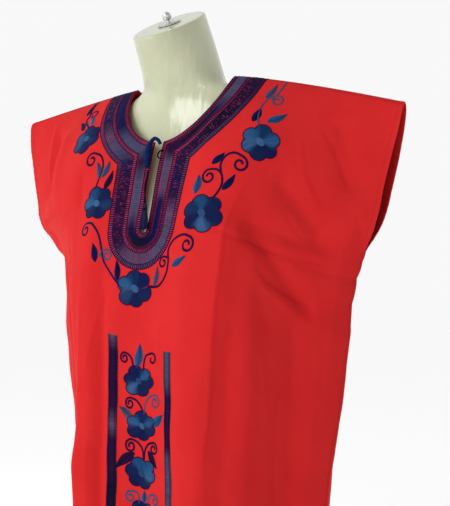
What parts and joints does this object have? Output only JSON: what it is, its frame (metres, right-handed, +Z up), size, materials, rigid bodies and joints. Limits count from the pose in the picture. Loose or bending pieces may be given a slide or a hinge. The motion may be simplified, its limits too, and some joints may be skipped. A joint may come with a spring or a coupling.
{
  "type": "embroidered blouse on a dress form",
  "caption": "Square-cut cotton blouse with cap sleeves, neck slit and embroidered border, worn open and hollow on a limbless dress form with a pole and round foot.",
  "frame": {"origin": "middle of the underside of the stand's round foot", "axes": "+Z up, the blouse's front faces -Y, the wearer's left is +X"},
  "size_m": [0.7391, 0.3, 1.0419],
  "materials": {
    "red_cotton": "plain woven cotton, soft sheen",
    "blue_thread": "twisted variegated blue cotton thread",
    "form_shell": "pale green-cream glossy moulded plastic",
    "chrome": "polished chrome plate"
  },
  "bodies": {
    "root": {"front_panel": "red_cotton", "back_panel": "red_cotton", "tie_bow": "blue_thread", "tie_cord": "blue_thread", "tie_loop": "blue_thread", "tie_tassel": "blue_thread", "dress_form": "form_shell", "neck_washer": "form_shell", "neck_ball": "chrome", "stand_pole": "chrome", "stand_base": "chrome"}
  },
  "joints": []
}
